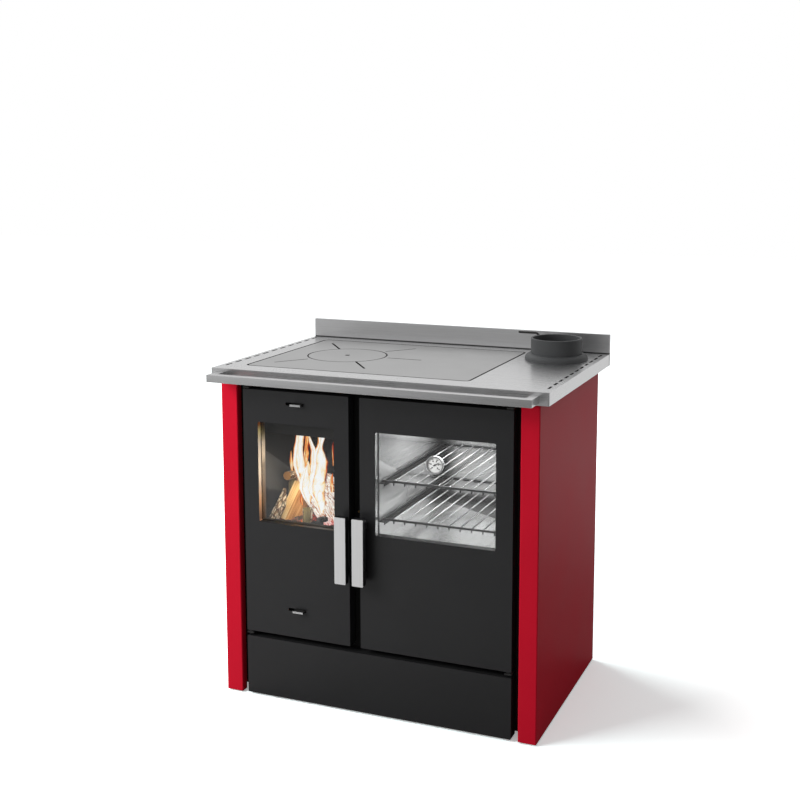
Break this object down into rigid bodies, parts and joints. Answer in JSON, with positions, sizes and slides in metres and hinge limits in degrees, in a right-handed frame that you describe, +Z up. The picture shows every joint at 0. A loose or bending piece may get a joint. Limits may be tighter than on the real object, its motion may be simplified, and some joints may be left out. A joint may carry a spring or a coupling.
{
  "type": "wood-burning cook stove",
  "caption": "Wood-burning cook stove with a fire door and an oven door, both glazed, a wide drawer, a steel hob, a flue spigot and a handrail.",
  "frame": {"origin": "on the floor under the middle of the stove's outline, handrail included", "axes": "+Z up, +X to the right of someone who faces the doors, +Y from the doors to the rear"},
  "size_m": [0.9, 0.662, 0.9284],
  "materials": {
    "red_enamel": "satin",
    "black_paint": "satin",
    "stainless": "brushed",
    "hob_steel": "ground",
    "galvanised": "matt",
    "black_steel": "matt",
    "cast_iron": "matt",
    "fire_slab": "matt",
    "rope": "woven",
    "glass": "clear",
    "black_grip": "satin",
    "brass": "satin",
    "dial_white": "matt",
    "firewood": "split and bark",
    "needle_black": "matt",
    "flames": "glowing"
  },
  "bodies": {
    "stove": {"side_panel_left": "red_enamel", "side_panel_right": "red_enamel", "back_panel": "galvanised", "base_frame": "black_steel", "levelling_feet": "black_grip", "front_frame": "black_steel", "smoke_casing": "black_steel", "firebox_shell": "black_steel", "lining_left": "fire_slab", "lining_right": "fire_slab", "lining_back": "fire_slab", "fire_grate": "cast_iron", "ash_pan": "galvanised", "oven_cavity": "stainless", "rack_guides": "black_steel", "oven_rack_lower": "stainless", "oven_rack_upper": "stainless", "bypass_divider": "black_steel", "drawer_runners": "galvanised", "top_plate": "black_steel", "hob_carrier": "black_steel", "hob_seal": "rope", "worktop": "stainless", "backsplash": "stainless", "front_rail": "stainless", "flue_collar": "cast_iron", "fire_hinge_pins": "black_steel", "oven_hinge_pins": "black_steel", "latch_keepers": "brass"},
    "fire_door": {"fire_door_skin": "black_paint", "fire_door_frame": "cast_iron", "fire_door_glass": "glass", "fire_glass_clips": "galvanised", "fire_door_seal": "rope", "fire_handle_facing": "stainless", "fire_handle_grip": "black_grip", "fire_latch": "galvanised"},
    "upper_air": {"upper_air_shutter": "black_steel", "upper_air_tip": "stainless"},
    "lower_air": {"lower_air_shutter": "black_steel", "lower_air_tip": "stainless"},
    "oven_door": {"oven_door_skin": "black_paint", "oven_door_frame": "cast_iron", "oven_door_glass": "glass", "oven_glass_clips": "galvanised", "oven_door_seal": "rope", "oven_handle_facing": "stainless", "oven_handle_grip": "black_grip", "oven_latch": "galvanised", "thermometer_case": "stainless", "thermometer_dial": "dial_white"},
    "needle": {"thermometer_needle": "needle_black"},
    "wood_drawer": {"drawer_front": "black_paint", "drawer_box": "galvanised", "drawer_slides": "galvanised"},
    "hob": {"hob_plate": "hob_steel"},
    "lid": {"hob_lid": "hob_steel"},
    "damper": {"damper_rod": "black_steel", "damper_flap": "black_steel"}
  },
  "joints": [
    {"name": "fire_door_swing", "type": "hinge", "parent": "stove", "child": "fire_door", "pos_m": [-0.3537, -0.2515, 0.5], "axis": [0, 0, -1], "range_deg": [0, 110]},
    {"name": "oven_door_swing", "type": "hinge", "parent": "stove", "child": "oven_door", "pos_m": [0.3537, -0.2515, 0.5], "axis": [0, 0, 1], "range_deg": [0, 110]},
    {"name": "upper_air_slide", "type": "slide", "parent": "fire_door", "child": "upper_air", "axis": [1, 0, 0], "range_m": [-0.0192, 0.0022]},
    {"name": "lower_air_slide", "type": "slide", "parent": "fire_door", "child": "lower_air", "axis": [1, 0, 0], "range_m": [-0.0192, 0.0022]},
    {"name": "needle_turn", "type": "hinge", "parent": "oven_door", "child": "needle", "pos_m": [0.16315, -0.2585, 0.6695], "axis": [0, 1, 0], "range_deg": [-195, 75], "stiffness_Nm_per_rad": 0.0002},
    {"name": "drawer_slide", "type": "slide", "parent": "stove", "child": "wood_drawer", "axis": [0, -1, 0], "range_m": [0, 0.4]},
    {"name": "hob_lift", "type": "slide", "parent": "stove", "child": "hob", "axis": [0, 0, 1], "range_m": [0, 0.12]},
    {"name": "lid_lift", "type": "slide", "parent": "hob", "child": "lid", "axis": [0, 0, 1], "range_m": [0, 0.05]},
    {"name": "damper_turn", "type": "hinge", "parent": "stove", "child": "damper", "pos_m": [0.262, 0.2795, 0.85], "axis": [0, 0, 1], "range_deg": [0, 90]}
  ]
}
